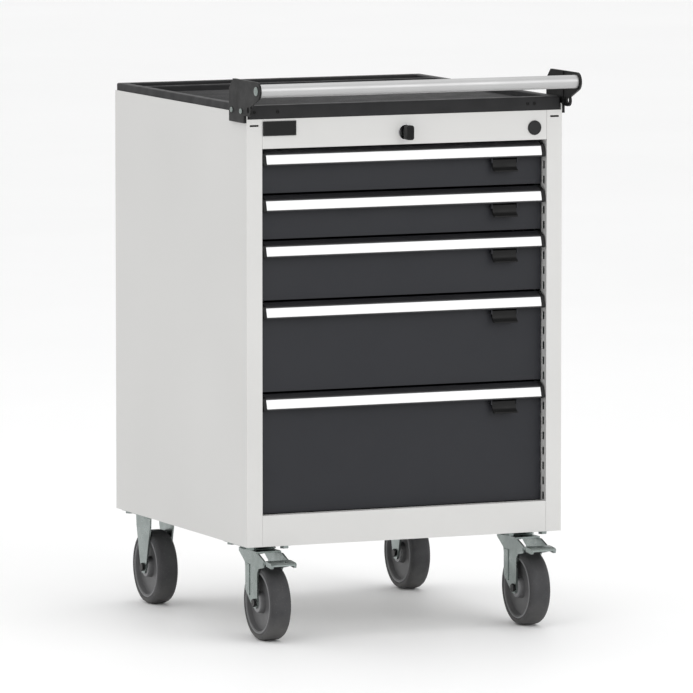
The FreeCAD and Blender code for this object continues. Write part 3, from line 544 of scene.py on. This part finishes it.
def on_handle_face(top, share, out):
    """A point on the handle's tilted label face: share 0 at its top, 1 at its bottom."""
    upper, lower = (Vector((0, behind(depth), top + height * MM)) for depth, height in LABEL_FACE)
    along = lower - upper
    normal = Vector((0, -along.z, along.y)).normalized()
    if normal.y > 0:
        normal.negate()
    place = upper + along * share + normal * out * MM
    return place.y, place.z


def label_strip(number):
    """The white label under its clear cover: a shallow crown between two retaining beads."""
    top = drawer_top(number)
    crown = list(UPPER_BEAD)
    for step in range(1, CROWN_STEPS):
        share = CROWN_START + CROWN_LENGTH * step / CROWN_STEPS
        rise = CROWN_RISE * math.sin(math.pi * step / CROWN_STEPS)
        crown.append((share, CROWN_EDGE + rise))
    crown += LOWER_BEAD
    outline = [on_handle_face(top, share, out) for share, out in crown]
    mesh = bmesh.new()
    extrude_along_x(mesh, outline, -HANDLE_HALF + LABEL_GAP * MM, HANDLE_HALF - LABEL_GAP * MM)
    piece(f"drawer_{number}_label", mesh, LABEL, f"drawer_{number}", 0.12)


def handle_caps(number):
    """The two moulded ends that close the handle profile."""
    top = drawer_top(number)
    outline = [(behind(depth), top + height * MM) for depth, height in CAP_SECTION]
    for side, sign in (("left", -1), ("right", 1)):
        mesh = bmesh.new()
        extrude_along_x(mesh, outline, sign * (HANDLE_HALF + CAP_GAP * MM), sign * CAP_OUTER)
        name = f"drawer_{number}_{side}_cap"
        piece(name, mesh, BLACK_PLASTIC, f"drawer_{number}", 1.1, 3)


def ribbed_mat(name, x_half, y_start, y_end, floor, body, pitch=5.0, thick=1.2, rib=1.0):
    """A rubber mat with rounded ribs across the drawer."""
    outline = [(y_end, floor), (y_start, floor)]
    count = int((y_end - y_start) / (pitch * MM))
    step = (y_end - y_start) / count
    for index in range(count):
        start = y_start + index * step
        for share, height in RIB_SECTION:
            outline.append((start + share * step, floor + (thick + rib * height) * MM))
    outline.append((y_end, floor + thick * MM))
    mesh = bmesh.new()
    extrude_along_x(mesh, outline, -x_half, x_half)
    piece(name, mesh, MAT, body)


def drawer_mat(number):
    """The mat on the drawer's floor."""
    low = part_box(f"drawer_{number}_tray")[0]
    start = low.y + DRAWER_MAT_FRONT * MM
    end = behind(DRAWER_MAT_BACK)
    floor = low.z + DRAWER_MAT_LIFT * MM
    ribbed_mat(f"drawer_{number}_mat", DRAWER_MAT_HALF, start, end, floor, f"drawer_{number}")


for number in DRAWERS:
    label_strip(number)
    handle_caps(number)
    drawer_mat(number)

# ---------------------------------------------------------------- cabinet trim

# In millimetres, except where a line says otherwise.
TRAY_WALL = 17
TOP_MATS = (
    # name, front and back edges in metres, drop of its floor below the tray's top in millimetres
    ("top_mat", FRONT + 17.5 * MM, BACK - 101.5 * MM, 11.95),
    ("trough_mat", BACK - 89 * MM, BACK - 17 * MM, 15.95),
)
TOP_MAT_RIBS = {"pitch": 7.0, "thick": 1.4, "rib": 1.4}

# Screws as (head radius, head height, hexagon radius), and where they sit.
BRACKET_SCREW = (4.5, 2.4, 1.9)
BAR_BOLT = (7.5, 2.2, 2.6)
RIM_SCREW = (3, 1.2, 1.3)
BRACKET_SCREWS = ((11, 871), (50, 871))
RIM_SCREWS = (-268, -227, 220, 232)
RIM_SCREW_HEIGHT = 869

BORDER_WIDTH = 1.6
BORDER_SUNK = 0.3
BORDER_RAISED = 0.5

FORK_LEG_HALF = 22.3
FORK_RIB = ((53, 72), (69, 80), (69, 112), (69, 124), (53, 124))
FORK_RIB_SUNK = 0.3
FORK_RIB_RAISED = 1.4

BEAD_INSET = 1.8
BEAD_OFFSET = 17
BEAD_WIRE = 0.95
HUB_DISC = (
    # (radius, along the axle)
    (5.2, 15.5),
    (15.4, 15.5),
    (16, 16.1),
    (16, 18.5),
    (15.2, 19.2),
    (5.2, 19.2),
    (5.2, 15.5),
)


def top_mats():
    """The mats in the top tray's recess and in its trough."""
    half = TRAY_HIGH.x - TRAY_WALL * MM
    for name, start, end, drop in TOP_MATS:
        floor = TRAY_HIGH.z - drop * MM
        ribbed_mat(name, half, start, end, floor, "cabinet", **TOP_MAT_RIBS)


def socket_screw(mesh, centre, axis, size):
    """A button-head screw with a hexagon socket."""
    radius, height, hexagon = (measure * MM for measure in size)
    axis = Vector(axis).normalized()
    profile = [(0, -0.2 * MM), (radius, -0.2 * MM), (radius, 0.25 * height)]
    for step in range(1, 5):
        angle = math.pi / 2 * step / 4
        reach = radius - (radius - hexagon * 1.25) * (1 - math.cos(angle))
        profile.append((reach, height * (0.25 + 0.75 * math.sin(angle))))
    profile += [(hexagon, height * 0.97), (hexagon * 0.96, height * 0.35), (0, height * 0.3)]
    turn_profile(mesh, centre, axis, profile, 24)


def screws():
    """Screws in the brackets, the bolts in the bar's ends and dark ones in the tray's front edge."""
    outer = abs(BRACKET_LOW.x)
    bracket = bmesh.new()
    for sign in (-1, 1):
        for depth, height in BRACKET_SCREWS:
            place = (sign * outer, behind(depth), height * MM)
            socket_screw(bracket, place, (sign, 0, 0), BRACKET_SCREW)
        bar = centre_of("handle_bar")
        place = (sign * outer, bar.y, bar.z)
        socket_screw(bracket, place, (sign, 0, 0), BAR_BOLT)
    made = piece("bracket_screws", bracket, ZINC, "cabinet")
    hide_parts("cover_screws")
    rim = bmesh.new()
    for across in RIM_SCREWS:
        place = (across * MM, FRONT, RIM_SCREW_HEIGHT * MM)
        socket_screw(rim, place, (0, -1, 0), RIM_SCREW)
    made = piece("rim_screws", rim, BLACK_PLASTIC, "cabinet")
    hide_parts("cover_screws")


def plate_frame():
    """A thin raised border round the blank nameplate."""
    low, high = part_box("nameplate")
    face = low.y
    edge = BORDER_WIDTH * MM
    mesh = bmesh.new()
    outer = [(low.x, low.z), (high.x, low.z), (high.x, high.z), (low.x, high.z)]
    inset = [(1, 1), (-1, 1), (-1, -1), (1, -1)]
    inner = [(x + edge * dx, z + edge * dz) for (x, z), (dx, dz) in zip(outer, inset)]
    rings = []
    for depth in (face + BORDER_SUNK * MM, face - BORDER_RAISED * MM):
        rings.append([[mesh.verts.new((x, depth, z)) for x, z in ring] for ring in (outer, inner)])
    (back_outer, back_inner), (front_outer, front_inner) = rings
    walls = ((back_outer, front_outer), (front_outer, front_inner), (front_inner, back_inner))
    for first, second in (*walls, (back_inner, back_outer)):
        for corner in range(4):
            following = (corner + 1) % 4
            mesh.faces.new((first[corner], first[following], second[following], second[corner]))
    piece("nameplate_frame", mesh, BLACK_STEEL, "cabinet", 0.25)


def fork_ribs():
    """The folded rib down the rear edge of each swivel fork's legs."""
    for side in ("left", "right"):
        middle = centre_of(f"front_{side}_rim").x
        leg = FORK_LEG_HALF * MM
        mesh = bmesh.new()
        for sign in (-1, 1):
            face = middle + sign * leg
            outline = [(behind(depth), height * MM) for depth, height in FORK_RIB]
            sunk = face - sign * FORK_RIB_SUNK * MM
            raised = face + sign * FORK_RIB_RAISED * MM
            extrude_along_x(mesh, outline, sunk, raised)
        piece(f"front_{side}_fork_ribs", mesh, ZINC, f"front_{side}_swivel", 0.6)


def wheel_beads():
    """The bead on each face of each rim, beside the tread, and the grey disc over each hub."""
    for wheel in WHEELS:
        low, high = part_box(f"{wheel}_rim")
        centre = (low + high) / 2
        radius = (high.z - low.z) / 2 - BEAD_INSET * MM
        mesh = bmesh.new()
        for sign in (-1, 1):
            face = centre + Vector((sign * BEAD_OFFSET * MM, 0, 0))
            torus(mesh, face, (1, 0, 0), radius, BEAD_WIRE * MM)
            turned = [(reach * MM, along * MM) for reach, along in HUB_DISC]
            turn_profile(mesh, centre, (sign, 0, 0), turned)
        piece(f"{wheel}_beads", mesh, BEAD, f"{wheel}_wheel")


top_mats()
screws()
plate_frame()
fork_ribs()
wheel_beads()

# ---------------------------------------------------------------- stage, light and camera

FLOOR_SIZE = 90
CHEST_MIDDLE = (0, 0, 0.45)
LIGHTS = (
    # name, place, size, power; all of them face the middle of the chest
    ("key", (1.6, -4.2, 2.6), (3.2, 2.4), 45),
    ("fill", (-3.6, -2.2, 1.6), (2.5, 2.5), 5),
    ("top", (0, 0.4, 4.0), (3.5, 3.5), 20),
)
CAMERA_LENS = 418
CAMERA_PLACE = (-5.316, -12.253, 1.851)
CAMERA_TARGET = (0.004, -0.005, 0.452)


def stage_floor():
    """A wide pale floor."""
    mesh = bmesh.new()
    bmesh.ops.create_grid(mesh, x_segments=1, y_segments=1, size=FLOOR_SIZE)
    data = bpy.data.meshes.new("floor")
    mesh.to_mesh(data)
    mesh.free()
    surface = Surface("floor_paint", (0.93, 0.93, 0.93), 0.6)
    data.materials.append(surface.mottle(0.7, 0.01).done())
    floor = bpy.data.objects.new("floor", data)
    bpy.context.scene.collection.objects.link(floor)


def area_light(name, place, target, size, power):
    """A soft rectangular light that the camera doesn't see."""
    data = bpy.data.lights.new(name, "AREA")
    data.shape = "RECTANGLE"
    data.size, data.size_y = size
    data.energy = power
    light = bpy.data.objects.new(name, data)
    bpy.context.scene.collection.objects.link(light)
    light.location = place
    light.rotation_euler = (Vector(target) - Vector(place)).to_track_quat("-Z", "Y").to_euler()
    light.visible_camera = False


def lights():
    """A pale surround, a broad key from the front right, a weak fill from the left and one above."""
    world = bpy.data.worlds.new("pale")
    world.use_nodes = True
    background = world.node_tree.nodes["Background"]
    background.inputs["Color"].default_value = (1.0, 1.0, 1.0, 1)
    background.inputs["Strength"].default_value = 1.0
    bpy.context.scene.world = world
    for name, place, size, power in LIGHTS:
        area_light(name, place, CHEST_MIDDLE, size, power)


def camera():
    """The main view: from the front left, a long lens on the whole chest."""
    data = bpy.data.cameras.new("camera")
    data.sensor_width = 36
    data.lens = CAMERA_LENS
    data.clip_start, data.clip_end = 0.5, 300
    made = bpy.data.objects.new("camera", data)
    bpy.context.scene.collection.objects.link(made)
    made.location = CAMERA_PLACE
    target = Vector(CAMERA_TARGET)
    made.rotation_euler = (target - made.location).to_track_quat("-Z", "Y").to_euler()
    bpy.context.scene.camera = made


camera()
stage_floor()
lights()
bpy.context.scene.view_settings.view_transform = "Standard"
